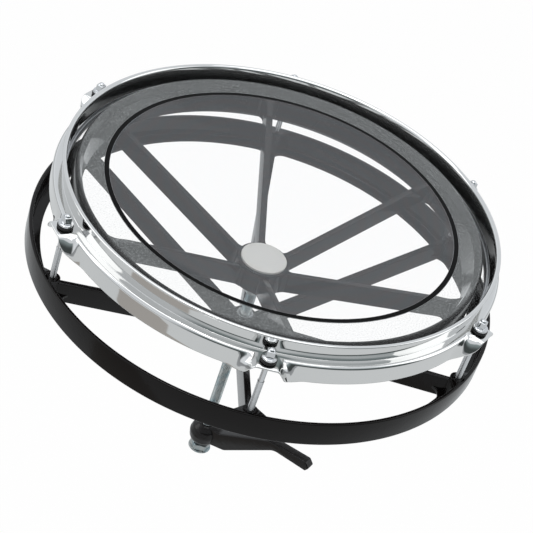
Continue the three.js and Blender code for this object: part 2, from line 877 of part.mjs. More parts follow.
// Nylon washer under a rod's collar, with a shallow groove round its edge.
function rodWasher() {
  const low = below(hoopFlangeDrop) + seatGap;
  const high = low + washerThickness;
  const middle = (low + high) * halfShare;
  const inner = rodShankRadius + seatGap;
  return revolved(
    [
      at(inner, low),
      at(washerRadius - washerGroove, low),
      at(washerRadius, low + washerGroove),
      at(washerRadius - washerGroove, middle),
      at(washerRadius, high - washerGroove),
      at(washerRadius - washerGroove, high),
      at(inner, high),
    ],
    rodSegments,
  ).translate([rodCircle, 0, 0]);
}

// Material of a sub-part.
function surface(color, roughness, metalness) {
  return new THREE.MeshStandardMaterial({ color, roughness, metalness });
}

const chrome = () => surface(0xd8dbdd, 0.08, 1);
const zinc = () => surface(0xc3c8ca, 0.28, 1);
const steel = () => surface(0xa9acae, 0.35, 1);
const blackCast = () => surface(0x17171a, 0.22, 0);
const blackNylon = () => surface(0x101011, 0.5, 0);
const greyBush = () => surface(0x3c3d40, 0.5, 0);
const offWhite = () => surface(0xd9dad5, 0.45, 0);
const clearFilm = () => surface(0xb9bcbe, 0.12, 0);

const rototom = new THREE.Group();
rototom.name = "rototom";

// Adds one named mesh to the group.
function place(name, body, material) {
  const mesh = new THREE.Mesh(geometryOf(body), material);
  mesh.name = name;
  rototom.add(mesh);
}

place("center_post", centerPost(), zinc());
place("retaining_ring", retainingRing(), steel());
place("shoulder_nut", shoulderNut(), zinc());
place("thrust_washer", thrustWasher(), zinc());
place("spacer_washer", spacerWasher(), zinc());
place("flange_nut", flangeNut(), zinc());
place("clamp_lever", clampLever(), blackCast());
place("upper_frame", upperFrame(), blackCast());
place("thrust_bush", thrustBush(), greyBush());
place("hub_cap", hubCap(), offWhite());
place("head_film", headFilm(), clearFilm());
place("lower_frame", lowerFrame(), blackCast());
place("thread_insert", threadInsert(), steel());
place("counter_hoop", counterHoop(), chrome());
place("flesh_hoop", fleshHoop(), steel());

const rod = tensionRod();
const washer = rodWasher();
for (let i = 0; i < armCount; i += 1) {
  place(`tension_rod_${i + 1}`, turned(rod, i * sectorAngle), chrome());
  place(`rod_washer_${i + 1}`, turned(washer, i * sectorAngle), blackNylon());
}

export default rototom;
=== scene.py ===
# Rototom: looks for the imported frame. Every length below is in millimetres until it
# reaches a mesh, which is in metres. Levels of the drum are depths below the playing
# surface or rises from it, and levels at the foot are heights above the post's end.
import math

import bpy
import numpy as np
from mathutils import Euler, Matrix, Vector


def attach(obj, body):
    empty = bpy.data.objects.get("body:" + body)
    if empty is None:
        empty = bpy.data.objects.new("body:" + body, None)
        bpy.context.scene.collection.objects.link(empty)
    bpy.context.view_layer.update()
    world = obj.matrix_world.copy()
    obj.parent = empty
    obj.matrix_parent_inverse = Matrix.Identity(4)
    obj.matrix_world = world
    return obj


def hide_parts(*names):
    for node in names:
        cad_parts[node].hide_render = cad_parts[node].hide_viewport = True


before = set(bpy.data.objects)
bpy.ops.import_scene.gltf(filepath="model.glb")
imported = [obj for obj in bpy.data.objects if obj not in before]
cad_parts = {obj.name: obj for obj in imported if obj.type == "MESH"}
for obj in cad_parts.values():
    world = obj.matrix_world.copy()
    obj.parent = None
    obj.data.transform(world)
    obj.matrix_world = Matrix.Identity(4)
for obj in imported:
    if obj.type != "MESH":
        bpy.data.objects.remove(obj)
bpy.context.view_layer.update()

MM = 0.001
FULL_TURN = 2 * math.pi
PLAY = 302.0  # the playing surface above the post's foot
ARMS = 6  # arms of each frame, and as many rods, ears and bosses
SECTOR = FULL_TURN / ARMS
UPPER_TURN = math.radians(6.37)  # the upper frame stands turned from the rods


# ---------------------------------------------------------------- node trees as expressions


class Link:
    """A socket of a node tree; arithmetic on it adds Math nodes."""

    def __init__(self, tree, socket):
        self.tree, self.socket = tree, socket

    def math(self, kind, *others):
        return self.tree.add("ShaderNodeMath", {"operation": kind}, self, *others)

    def __add__(self, other):
        return self.math("ADD", other)

    def __sub__(self, other):
        return self.math("SUBTRACT", other)

    def __mul__(self, other):
        return self.math("MULTIPLY", other)

    def __truediv__(self, other):
        return self.math("DIVIDE", other)

    def __pow__(self, other):
        return self.math("POWER", other)

    def __radd__(self, other):
        return self + other

    def __rmul__(self, other):
        return self * other

    def __rsub__(self, other):
        return self.tree.add("ShaderNodeMath", {"operation": "SUBTRACT"}, other, self)

    def __rtruediv__(self, other):
        return self.tree.add("ShaderNodeMath", {"operation": "DIVIDE"}, other, self)

    def clamped(self):
        return self.tree.add("ShaderNodeClamp", {}, self)

    def above(self, edge):
        return self.math("GREATER_THAN", edge)

    def smooth(self, low, high):
        """0 below low, 1 above high, and a smooth step between them."""
        settings = {"interpolation_type": "SMOOTHSTEP"}
        return self.tree.add("ShaderNodeMapRange", settings, self, low, high, 0.0, 1.0)

    def within(self, low, high, edge):
        """1 between low and high, fading to 0 over a narrow edge inside each of them."""
        return self.smooth(low, low + edge) * (1.0 - self.smooth(high - edge, high))


class Tree:
    """A node tree that is written as Python calls."""

    def __init__(self, tree):
        self.tree = tree

    def add(self, kind, settings, *values, out=0, **named):
        """One node: its settings first, then its sockets by order or by name."""
        node = self.tree.nodes.new(kind)
        for key, value in settings.items():
            if key == "stops":
                self.set_stops(node, value)
            else:
                setattr(node, key, value)
        for index, value in enumerate(values):
            self.put(node.inputs[index], value)
        for key, value in named.items():
            self.put(self.find(node.inputs, key.replace("_", " ")), value)
        return Link(self, self.find(node.outputs, out) if isinstance(out, str) else node.outputs[out])

    @staticmethod
    def find(sockets, name):
        hits = [s for s in sockets if s.name.lower() == name.lower() and s.enabled]
        return hits[0] if hits else sockets[name]

    @staticmethod
    def set_stops(node, stops):
        """Grey stops of a ramp, given as (place, brightness)."""
        ramp = node.color_ramp
        while len(ramp.elements) < len(stops):
            ramp.elements.new(0.5)
        for element, (place, value) in zip(ramp.elements, stops):
            element.position = place
            element.color = (value, value, value, 1)

    def put(self, socket, value):
        if isinstance(value, Link):
            self.tree.links.new(value.socket, socket)
        else:
            socket.default_value = value

    def mix(self, share, first, second):
        """A colour between two colours."""
        first, second = (c if isinstance(c, Link) else (*c, 1) for c in (first, second))
        settings = {"data_type": "RGBA"}
        return self.add("ShaderNodeMix", settings, out="Result", Factor=share, A=first, B=second)

    def parts(self, vector):
        """x, y and z of a vector."""
        node = self.tree.nodes.new("ShaderNodeSeparateXYZ")
        self.put(node.inputs[0], vector)
        return [Link(self, socket) for socket in node.outputs]


# ---------------------------------------------------------------- materials


class Finish(Tree):
    """A material tree around one Principled shader, in Object coordinates."""

    def __init__(self, name, **constants):
        self.material = bpy.data.materials.new(name)
        self.material.use_nodes = True
        super().__init__(self.material.node_tree)
        self.shader = self.tree.nodes["Principled BSDF"]
        for key, value in constants.items():
            self.feed(key, value)
        self.place = self.add("ShaderNodeTexCoord", {}, out="Object")

    def feed(self, key, value):
        self.put(self.shader.inputs[key.replace("_", " ")], value)

    def noise(self, scale, detail, roughness=0.55, place=None):
        place = place or self.place
        return self.add(
            "ShaderNodeTexNoise", {}, Vector=place, Scale=scale, Detail=detail, Roughness=roughness
        )

    def stretched(self, x, y, z):
        return self.add("ShaderNodeMapping", {}, self.place, Scale=(x, y, z))

    def radius_and_height(self):
        """A point's distance from the post's axis and its height, in millimetres."""
        x, y, z = (part / MM for part in self.parts(self.place))
        return (x * x + y * y) ** 0.5, z

    def bump(self, height, strength, distance):
        bent = self.add("ShaderNodeBump", {}, Height=height, Strength=strength, Distance=distance)
        self.feed("Normal", bent)


def chrome_plate(name="chrome_plate", tint=(0.74, 0.74, 0.73)):
    """Bright plate on pressed steel: a faint haze, a few streaks and long low waves."""
    f = Finish(name, Metallic=1.0)
    haze = f.noise(9.0, 4.0)
    streak = f.noise(60.0, 2.0, place=f.stretched(1, 1, 6))
    dulled = tuple(0.94 * c for c in tint)
    f.feed("Base_Color", f.mix(haze.smooth(0.35, 0.75), tint, dulled))
    f.feed("Roughness", 0.035 + haze * 0.03 + streak.smooth(0.6, 0.8) * 0.03)
    f.bump(f.noise(38.0, 2.0), strength=0.05, distance=0.0006)
    return f.material


def zinc_plate():
    """Dull plate, clouded between a warm and a cool grey."""
    f = Finish("zinc_plate", Metallic=1.0)
    warm, cool = (0.42, 0.44, 0.43), (0.26, 0.33, 0.35)
    cloud = f.noise(120.0, 4.0)
    f.feed("Base_Color", f.mix(cloud.smooth(0.4, 0.65), warm, cool))
    f.feed("Roughness", 0.22 + cloud * 0.16)
    f.bump(f.noise(700.0, 2.0), strength=0.12, distance=0.00008)
    return f.material


def plain_steel():
    """Bare steel of the parts that lie hidden in the drum."""
    f = Finish("plain_steel", Metallic=1.0)
    grain = f.noise(240.0, 4.0)
    f.feed("Base_Color", f.mix(grain, (0.34, 0.35, 0.36), (0.46, 0.47, 0.48)))
    f.feed("Roughness", 0.3 + grain * 0.2)
    return f.material


def black_enamel(name="black_enamel", gloss=0.07, level=0.19, texture=0.22):
    """Gloss black paint on a casting: orange peel and small pits."""
    f = Finish(name, Specular_IOR_Level=level)
    peel = f.noise(150.0, 2.0)
    pits = f.noise(520.0, 3.0)
    cloud = f.noise(14.0, 4.0)
    f.feed("Base_Color", f.mix(cloud, (0.0050, 0.0040, 0.0038), (0.0078, 0.0062, 0.0060)))
    f.feed("Roughness", gloss + cloud * 0.12 + pits.smooth(0.62, 0.75) * 0.12)
    f.bump(peel + pits * (texture + 0.13), strength=texture, distance=0.00035)
    return f.material


def black_nylon():
    f = Finish("black_nylon", Specular_IOR_Level=0.4)
    grain = f.noise(900.0, 3.0)
    f.feed("Base_Color", f.mix(grain, (0.006, 0.006, 0.006), (0.016, 0.016, 0.017)))
    f.feed("Roughness", 0.42 + grain * 0.2)
    f.bump(grain, strength=0.1, distance=0.0001)
    return f.material


def grey_bush():
    f = Finish("grey_bush")
    grain = f.noise(600.0, 3.0)
    f.feed("Base_Color", f.mix(grain, (0.03, 0.031, 0.034), (0.055, 0.056, 0.06)))
    f.feed("Roughness", 0.45 + grain * 0.15)
    return f.material


def cap_plastic():
    """Off-white moulded disc with a fine matt grain and faint yellowing near its rim."""
    f = Finish("cap_plastic", Specular_IOR_Level=0.35)
    radius, _ = f.radius_and_height()
    grain = f.noise(1200.0, 3.0)
    rim = radius.smooth(14.0, 21.0)
    clean = f.mix(grain, (0.63, 0.64, 0.625), (0.70, 0.705, 0.69))
    f.feed("Base_Color", f.mix(rim * 0.5, clean, (0.64, 0.635, 0.60)))
    f.feed("Roughness", 0.42 + grain * 0.16)
    f.bump(grain, strength=0.12, distance=0.00006)
    return f.material


def clear_film():
    """Two-ply film with a black stripe: clear inside it, hazy and sparkling outside it, and over all of it
    a faint lit veil that is a painted sheen standing in for the film's reflection of the room.
    """
    f = Finish("clear_film", Roughness=0.2, Specular_IOR_Level=0.06)
    radius, height = f.radius_and_height()
    on_flat = (height - (PLAY - 2.0)).clamped()
    collar = radius.smooth(174.6, 176.5)
    outside = radius.smooth(152.0, 153.0)
    wobble = f.noise(260.0, 2.0) * 0.25
    stripe = (radius + wobble).within(149.9, 154.6, edge=0.4) * on_flat
    cloud = f.noise(16.0, 5.0)
    grain = f.noise(620.0, 3.0, 0.7)
    sparkle = grain.smooth(0.38, 0.62) * 0.22 + grain.smooth(0.56, 0.66)
    # Painted sheen: the bluish, banded veil colour stands in for the film's reflection of the room; outside
    # the stripe the veil also carries the film's own hazier tone.
    sheen_bands = (radius * 0.55 + cloud * 16.0).math("SINE") * 0.5 + 0.5
    painted_sheen_tint = f.mix(sheen_bands, (0.80, 0.87, 0.93), (0.86, 0.86, 0.90))
    sheen_and_haze_colour = f.mix(outside, painted_sheen_tint, (0.85, 0.90, 0.92))
    f.feed("Base_Color", f.mix(stripe, sheen_and_haze_colour, (0.002, 0.002, 0.002)))
    # Veil opacity: inside the stripe it is only painted sheen for the film's reflection; outside the stripe
    # the thicker, speckled part is also the film's own haze.
    haze = 0.056 + cloud * 0.006 + outside * (0.018 + sparkle * 0.12) * (1.0 - collar)
    f.feed("Alpha", (haze * (1.0 - collar * 0.6) + stripe).clamped())
    f.material.surface_render_method = "DITHERED"
    return f.material


# ---------------------------------------------------------------- outlines

NEARLY_STRAIGHT = 0.02  # a corner that turns by less, in radians, gets no arc
ON_AXIS = 1e-6


def rounded(corners, steps=5):
    """A closed outline whose corners (x, y, rounding) are turned into arcs."""
    points = []
    count = len(corners)
    for i, (x, y, size) in enumerate(corners):
        here = np.array([x, y], float)
        before = np.array(corners[i - 1][:2], float) - here
        after = np.array(corners[(i + 1) % count][:2], float) - here
        points += corner_arc(here, before, after, size, steps)
    return np.array(points)


def below(corners, steps=5):
    """A rounded outline of (radius, depth below the playing surface, rounding)."""
    return rounded([(radius, PLAY - depth, size) for radius, depth, size in corners], steps)


def corner_arc(here, before, after, size, steps):
    """Points of the arc that replaces one corner."""
    if size <= 0:
        return [tuple(here)]
    a, b = before / np.linalg.norm(before), after / np.linalg.norm(after)
    opening = math.acos(np.clip(a @ b, -1, 1))
    if opening > math.pi - NEARLY_STRAIGHT:
        return [tuple(here)]
    reach = size / math.tan(opening / 2)
    middle = a + b
    centre = here + middle / np.linalg.norm(middle) * (size / math.sin(opening / 2))
    start, end = here + a * reach - centre, here + b * reach - centre
    low = math.atan2(start[1], start[0])
    sweep = (math.atan2(end[1], end[0]) - low + math.pi) % FULL_TURN - math.pi
    turns = [low + sweep * k / steps for k in range(steps + 1)]
    return [(centre[0] + size * math.cos(t), centre[1] + size * math.sin(t)) for t in turns]


def bent_sheet(path, thickness, steps):
    """Closed section of a sheet along a path of (x, y, bend radius), its ends rounded."""
    line = [tuple(path[0][:2])]
    for i in range(1, len(path) - 1):
        here = np.array(path[i][:2], float)
        before = np.array(path[i - 1][:2], float) - here
        after = np.array(path[i + 1][:2], float) - here
        line += corner_arc(here, before, after, path[i][2], steps)
    line = np.array(line + [tuple(path[-1][:2])], float)
    along = np.gradient(line, axis=0)
    along /= np.linalg.norm(along, axis=1)[:, None]
    radius = thickness / 2
    across = np.stack([-along[:, 1], along[:, 0]], axis=1) * thickness / 2
    ends = []
    for centre, side in ((line[-1], across[-1]), (line[0], -across[0])):
        turn = math.atan2(side[1], side[0])
        angles = [turn - math.pi * k / steps for k in range(1, steps)]
        ends.append([(centre[0] + radius * math.cos(t), centre[1] + radius * math.sin(t)) for t in angles])
    return np.array(list(line + across) + ends[0] + list((line - across)[::-1]) + ends[1])


def facing_out(outline):
    """The outline, running so that its turned faces point outwards."""
    x, y = outline[:, 0], outline[:, 1]
    area = np.sum(x * np.roll(y, -1) - np.roll(x, -1) * y)
    return outline if area > 0 else outline[::-1]


def dense(outline, longest):
    """A closed outline with its long sides divided."""
    points = []
    for here, there in zip(outline, np.roll(outline, -1, axis=0)):
        parts = max(1, int(np.linalg.norm(there - here) / longest))
        points += [here + (there - here) * k / parts for k in range(parts)]
    return np.array(points)


def inset_outline(outline, inset):
    """A closed outline moved inwards by a distance."""
    along = np.roll(outline, -1, axis=0) - np.roll(outline, 1, axis=0)
    along /= np.linalg.norm(along, axis=1)[:, None]
    return outline + np.stack([-along[:, 1], along[:, 0]], axis=1) * inset


def rounded_square(half, corner, count=48):
    """Loop of a square with rounded corners; one as large as the half width makes a circle."""
    t = (np.arange(count) + 0.5) * FULL_TURN / count
    x = (half - corner) * np.sign(np.cos(t)) + corner * np.cos(t)
    y = (half - corner) * np.sign(np.sin(t)) + corner * np.sin(t)
    return np.stack([x, y], axis=1)


def hexagon(across_flats, limit, count=72):
    """Loop of a hexagon cut off by a circle."""
    t = (np.arange(count) + 0.5) * FULL_TURN / count
    reach = across_flats / 2 / np.cos((t + math.pi / 6) % (math.pi / 3) - math.pi / 6)
    return circle(t, np.minimum(reach, limit))


def circle(angles, radius):
    return np.stack([radius * np.cos(angles), radius * np.sin(angles)], axis=1)


def at_height(loop, height):
    return np.column_stack([loop, np.full(len(loop), height)])


def evenly(count):
    """Angles that share a full turn out."""
    return np.arange(count) * FULL_TURN / count


def crowded_angles(per_sector):
    """Angles about the axis, closer together near the tension rods."""
    angles = []
    for sector in range(ARMS):
        for k in range(per_sector):
            step = (k / per_sector + 0.5) % 1 - 0.5
            spread = math.copysign(0.5 * abs(2 * step) ** 1.5, step)
            angles.append(sector * SECTOR + (spread if k / per_sector < 0.5 else spread + 1) * SECTOR)
    return np.array(angles)


# ---------------------------------------------------------------- meshes


def mesh_of(points, faces):
    """Mesh of points in millimetres."""
    mesh = bpy.data.meshes.new("part")
    mesh.from_pydata([tuple(p) for p in np.reshape(points, (-1, 3)) * MM], [], faces)
    mesh.update()
    return mesh


def woven(rows, wrap_rows, wrap_columns):
    """Quads over a grid of points, rows by columns, either of them closed on itself."""
    count, wide = rows.shape[:2]
    faces = []
    for i in range(count if wrap_rows else count - 1):
        j = (i + 1) % count
        for k in range(wide if wrap_columns else wide - 1):
            n = (k + 1) % wide
            faces.append((i * wide + k, j * wide + k, j * wide + n, i * wide + n))
    return faces


def swept(radius, height, angles):
    """Rows of a section's points, one row for each angle about the post's axis."""
    rows = np.empty((len(angles), len(height), 3))
    rows[:, :, 0] = np.cos(angles)[:, None] * radius
    rows[:, :, 1] = np.sin(angles)[:, None] * radius
    rows[:, :, 2] = height
    return rows


def ring_of(rows):
    """Mesh of rows of points, closed both ways."""
    return mesh_of(rows, woven(rows, True, True))


def turned(outline, count):
    """Mesh of a closed outline of (radius, height) turned about the post's axis."""
    radius, height = facing_out(outline).T
    return ring_of(swept(radius, height, evenly(count)))


def turned_solid(outline, count):
    """Mesh of an outline that starts and ends on the post's axis, turned about it."""
    outline = facing_out(outline)
    on_axis = outline[:, 0] < ON_AXIS
    leaving = int(np.argmax(on_axis & ~np.roll(on_axis, -1)))
    outline = np.roll(outline, -leaving, axis=0)
    radius, height = outline[outline[:, 0] >= ON_AXIS].T
    rows = swept(radius, height, evenly(count))
    faces = woven(rows, True, False)
    wide = len(height)
    points = np.concatenate([rows.reshape(-1, 3), [[0, 0, height[0]], [0, 0, height[-1]]]])
    low, high = count * wide, count * wide + 1
    for i in range(count):
        j = (i + 1) % count
        faces.append((low, j * wide, i * wide))
        faces.append((high, i * wide + wide - 1, j * wide + wide - 1))
    return mesh_of(points, faces)


def stacked(loops):
    """Closed mesh of loops stacked upwards, with flat ends."""
    rows = np.array(loops, float)
    count, wide = rows.shape[:2]
    faces = [tuple(reversed(face)) for face in woven(rows, False, True)]
    faces.append(tuple(range(wide))[::-1])
    faces.append(tuple((count - 1) * wide + k for k in range(wide)))
    return mesh_of(rows, faces)


def points_of(mesh):
    """A mesh's points, in millimetres."""
    flat = np.empty(len(mesh.vertices) * 3)
    mesh.vertices.foreach_get("co", flat)
    return flat.reshape(-1, 3) / MM


def joined(meshes):
    """One mesh of several."""
    faces, offset = [], 0
    for mesh in meshes:
        faces += [tuple(offset + v for v in polygon.vertices) for polygon in mesh.polygons]
        offset += len(mesh.vertices)
    return mesh_of(np.concatenate([points_of(mesh) for mesh in meshes]), faces)


def moved(mesh, shift=(0, 0, 0), turn=0.0):
    """A copy of a mesh, shifted and then turned about the post's axis."""
    copy = mesh.copy()
    points = points_of(mesh) + np.array(shift)
    c, s = math.cos(turn), math.sin(turn)
    x, y, z = points.T
    turned_points = np.stack([c * x - s * y, s * x + c * y, z], axis=1)
    copy.vertices.foreach_set("co", (turned_points * MM).ravel())
    copy.update()
    return copy


def piece(name, meshes, material, body, replaced, smooth_angle=35.0):
    """One finished object of the meshes, riding on a body in place of its solids."""
    whole = joined(meshes) if len(meshes) > 1 else meshes[0]
    whole.polygons.foreach_set("use_smooth", [True] * len(whole.polygons))
    whole.set_sharp_from_angle(angle=math.radians(smooth_angle))
    whole.materials.clear()
    whole.materials.append(material)
    whole.name = name
    thing = bpy.data.objects.new(name, whole)
    bpy.context.scene.collection.objects.link(thing)
    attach(thing, body)
    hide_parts(*replaced)


# ---------------------------------------------------------------- shapes that follow a rule

WELD = 2e-7  # metres: points closer than this become one


class Rule(Tree):
    """A geometry node tree with named sizes, which turns one mesh into another."""

    def __init__(self, name, *sizes):
        group = bpy.data.node_groups.new(name, "GeometryNodeTree")
        super().__init__(group)
        sockets = group.interface
        sockets.new_socket("Geometry", in_out="INPUT", socket_type="NodeSocketGeometry")
        for size in sizes:
            sockets.new_socket(size, in_out="INPUT", socket_type="NodeSocketFloat")
        sockets.new_socket("Finish", in_out="INPUT", socket_type="NodeSocketMaterial")
        sockets.new_socket("Geometry", in_out="OUTPUT", socket_type="NodeSocketGeometry")
        self.inlet = group.nodes.new("NodeGroupInput")
        self.outlet = group.nodes.new("NodeGroupOutput")
        self.sizes = [self.given(size) for size in sizes]

    def given(self, name):
        return Link(self, self.inlet.outputs[name])

    def point(self):
        """x, y and z of each point."""
        return self.parts(self.add("GeometryNodeInputPosition", {}))

    def placed(self, geometry, x, y, z):
        """The geometry with its points moved to x, y and z."""
        vector = self.add("ShaderNodeCombineXYZ", {}, x, y, z)
        return self.add("GeometryNodeSetPosition", {}, Geometry=geometry, Position=vector)

    def grid(self, along, around):
        """A grid whose points run from 0 to 1 along x and y."""
        flat = self.add("GeometryNodeMeshGrid", {}, 1.0, 1.0, along, around)
        x, y, _ = self.point()
        return flat, x + 0.5, y + 0.5

    def welded(self, geometry):
        """The geometry with its seam and poles closed, facing outwards."""
        whole = self.add("GeometryNodeMergeByDistance", {}, Geometry=geometry, Distance=WELD)
        return self.add("GeometryNodeFlipFaces", {}, whole)

    def around_axis(self, geometry, count, step, start):
        """Copies turned about the post's axis."""
        points = self.add("GeometryNodePoints", {}, Count=count)
        turn = self.add("GeometryNodeInputIndex", {}) * step + start
        spin = self.add("ShaderNodeCombineXYZ", {}, 0.0, 0.0, turn)
        return self.add("GeometryNodeInstanceOnPoints", {}, Points=points, Instance=geometry, Rotation=spin)

    def end(self, geometry):
        whole = self.add("GeometryNodeRealizeInstances", {}, geometry)
        done = self.add("GeometryNodeSetMaterial", {}, Geometry=whole, Material=self.given("Finish"))
        self.put(self.outlet.inputs[0], done)
        return self

    def made(self, mesh, finish, **sizes):
        """The plain mesh that this rule makes of another, or of none, with the sizes given."""
        carrier = bpy.data.objects.new("carrier", mesh or bpy.data.meshes.new("empty"))
        bpy.context.scene.collection.objects.link(carrier)
        modifier = carrier.modifiers.new("rule", "NODES")
        modifier.node_group = self.tree
        values = {key.replace("_", " ").capitalize(): value for key, value in sizes.items()}
        values["Finish"] = finish
        for socket in self.tree.interface.items_tree:
            if socket.in_out == "INPUT" and socket.name in values:
                modifier[socket.identifier] = values[socket.name]
        view = bpy.context.evaluated_depsgraph_get()
        result = bpy.data.meshes.new_from_object(carrier.evaluated_get(view))
        bpy.data.objects.remove(carrier)
        return result


def metres(**sizes):
    """Sizes in millimetres turned into metres, for a rule."""
    return {key: value * MM for key, value in sizes.items()}


def ear_rule():
    """Bends a turned hoop's skirt back up beside each tension rod, where it becomes a flat ear."""
    r = Rule(
        "unbent_ears", "Hinge radius", "Hinge level", "Stretch", "Droop", "Fold", "Flat half",
        "Fold half", "Base half",
    )
    hinge, level, stretch, droop, fold, flat_half, fold_half, base_half = r.sizes
    x, y, z = r.point()
    radius = (x * x + y * y) ** 0.5
    angle = y.math("ARCTAN2", x)
    from_rod = angle - (angle / SECTOR).math("ROUND") * SECTOR
    distance = (radius * from_rod.math("SINE")).math("ABSOLUTE")
    upright = droop + fold * distance.smooth(flat_half, fold_half)
    upright = upright + (math.pi / 2 - droop - fold) * distance.smooth(flat_half, base_half)
    share = upright / (math.pi / 2)
    out = (radius - hinge).math("MAXIMUM", 0.0)
    above = (z - level).math("MAXIMUM", 0.0)
    under = (level - z).math("MAXIMUM", 0.0)
    turn = out.math("ARCTAN2", above) * share
    arc = (out * out + above * above) ** 0.5
    run = under * (1.0 + stretch * (1.0 - share))
    bent_radius = hinge + arc * turn.math("SINE") + run * upright.math("COSINE")
    bent_level = level + arc * turn.math("COSINE") - run * upright.math("SINE")
    beyond = radius.above(hinge)
    scale = 1.0 + (bent_radius / radius - 1.0) * beyond
    drawn = r.placed(r.given("Geometry"), x * scale, y * scale, z + (bent_level - z) * beyond)
    return r.end(drawn)


def arm_rule():
    """Six dished arms: a rounded bar between two cones, flared into ring and hub."""
    r = Rule(
        "dished_arms", "Start", "Stop", "Half width", "Edge", "Ring centre", "Ring corner",
        "Hub centre", "Hub corner", "Top axis", "Top slope", "Bottom axis", "Bottom slope",
        "Floor", "Ceiling", "Lean", "Turn",
    )
    (start, stop, half, edge, ring_centre, ring_corner, hub_centre, hub_corner, top_axis, top_slope,
     bottom_axis, bottom_slope, floor, ceiling, lean, turn) = r.sizes
    lengthwise, around = 150, 57
    bar, u, v = r.grid(lengthwise, around)
    x = start + (stop - start) * u
    ring_step = (x - ring_centre).math("MAXIMUM", 0.0).math("MINIMUM", ring_corner)
    hub_step = (hub_centre - x).math("MAXIMUM", 0.0).math("MINIMUM", hub_corner)
    flared = half
    for step, corner in ((ring_step, ring_corner), (hub_step, hub_corner)):
        flared = flared + corner - (corner * corner - step * step).math("MAXIMUM", 0.0) ** 0.5
    high = top_axis + top_slope * x
    low = (bottom_axis + bottom_slope * x).math("MAXIMUM", floor).math("MINIMUM", ceiling)
    between_poles = u.above(0.001) * (1.0 - u.above(0.999))
    angle = (v + 0.5 / (around - 1)) * FULL_TURN
    across, upward = angle.math("COSINE"), angle.math("SINE")
    tall = (high - low) * 0.5
    y = ((flared - edge) * across.math("SIGN") + edge * across) * between_poles
    z = (high + low) * 0.5 + ((tall - edge) * upward.math("SIGN") + edge * upward) * between_poles
    leaning = x + lean * (z - ceiling) * x.smooth(ring_centre - ring_corner, ring_centre)
    shaped = r.welded(r.placed(bar, leaning, y, z))
    return r.end(r.around_axis(shaped, ARMS, SECTOR, turn))


def thread_rule(lengthwise, around):
    """A screw thread between two levels, fading out at both ends."""
    r = Rule("screw_thread", "Low", "High", "Radius", "Depth", "Pitch", "Runout")
    low, high, radius, depth, pitch, runout = r.sizes
    skin, u, v = r.grid(lengthwise, around)
    z = low + (high - low) * u
    angle = v * FULL_TURN
    phase = (z / pitch - v).math("FRACT")
    ridge = (phase * 2.0 - 1.0).math("ABSOLUTE").smooth(0.12, 0.92)
    fade = ((z - low) / runout).clamped() * ((high - z) / runout).clamped()
    half_row = 0.5 / lengthwise
    between_poles = u.above(half_row) * (1.0 - u.above(1.0 - half_row))
    reach = (radius - depth * (1.0 - ridge) * fade) * between_poles
    x, y = reach * angle.math("COSINE"), reach * angle.math("SINE")
    return r.end(r.welded(r.placed(skin, x, y, z)))


def ripple_rule():
    """Presses upright crimps into the wall of a turned ring."""
    r = Rule("crimped_wall", "Count", "Depth", "Low", "Shallow", "High", "Top")
    count, depth, low, shallow, high, top = r.sizes
    x, y, z = r.point()
    angle = y.math("ARCTAN2", x)
    wave = (angle * count).math("SINE").smooth(-0.5, 0.6)
    span = z.smooth(low, shallow) * (1.0 - z.smooth(high, top))
    radius = (x * x + y * y) ** 0.5
    scale = (radius - depth * wave * span) / radius
    return r.end(r.placed(r.given("Geometry"), x * scale, y * scale, z))


# ---------------------------------------------------------------- pressed hoop

SHEET = 1.9  # thickness
BAND = 185.0  # inner face of the upright band
BAND_BEND = 1.5
BAND_TOP, BAND_FOOT = 1.1, -0.1  # how far the band leans out at its top and at its foot
LIP_EDGE, LIP_RISE, LIP_END_RISE = 189.05, 6.5, 5.55
SKIRT = 195.0  # outer face
SKIRT_BEND = 2.4
SKIRT_EDGE = 26.55  # depth of its lower edge
FLANGE = 10.0  # depth of its upper face
ROD_CIRCLE = 198.2


def pressed_hoop(finish):
    middle, wall = BAND + SHEET / 2, SKIRT - SHEET / 2
    flange = PLAY - FLANGE - SHEET / 2
    path = [
        (LIP_EDGE, PLAY + LIP_END_RISE, 0),
        (middle + BAND_TOP, PLAY + LIP_RISE, BAND_BEND),
        (middle + BAND_FOOT, flange, BAND_BEND),
        (wall, flange, SKIRT_BEND),
        (wall, PLAY - SKIRT_EDGE, 0),
    ]
    section = dense(facing_out(bent_sheet(path, SHEET, 6)), 2.6)
    plain = ring_of(swept(section[:, 0], section[:, 1], crowded_angles(200)))
    eared = ear_rule().made(
        plain, finish, stretch=0.13, droop=math.radians(2), fold=math.radians(50),
        **metres(
            hinge_radius=wall - SKIRT_BEND, hinge_level=flange - SKIRT_BEND,
            flat_half=7.5, fold_half=20.0, base_half=34.0,
        ),
    )
    piece("pressed_hoop", [eared], finish, "cage", ["counter_hoop"], 50)


# ---------------------------------------------------------------- cast frames

ARM_HALF = 2.9  # half of an arm's width
ARM_CORNER = 11.0  # fillet between an arm and its ring


def flare_centre(corner, reach):
    """How far out along the arm the centre of its corner fillet lies."""
    return math.sqrt(reach * reach - (ARM_HALF + corner) ** 2)


def arms_mesh(finish, ring, hub, hub_corner, top, bottom, levels, lean, turn):
    """Arms of one frame; top and bottom are (depth at the axis, depth at the ring)."""
    hub_centre = flare_centre(hub_corner, hub + hub_corner)
    ring_centre = flare_centre(ARM_CORNER, ring - ARM_CORNER)
    widest = ring_centre + ARM_CORNER * ring_centre / (ring - ARM_CORNER)
    sizes = metres(
        start=hub_centre - hub_corner, stop=widest, half_width=ARM_HALF, edge=0.8,
        ring_centre=ring_centre, ring_corner=ARM_CORNER, hub_centre=hub_centre, hub_corner=hub_corner,
        top_axis=PLAY - top[0], bottom_axis=PLAY - bottom[0],
        floor=PLAY - levels[0], ceiling=PLAY - levels[1],
    )
    top_slope, bottom_slope = (top[0] - top[1]) / ring, (bottom[0] - bottom[1]) / ring
    return arm_rule().made(
        None, finish, top_slope=top_slope, bottom_slope=bottom_slope, lean=lean, turn=turn, **sizes
    )


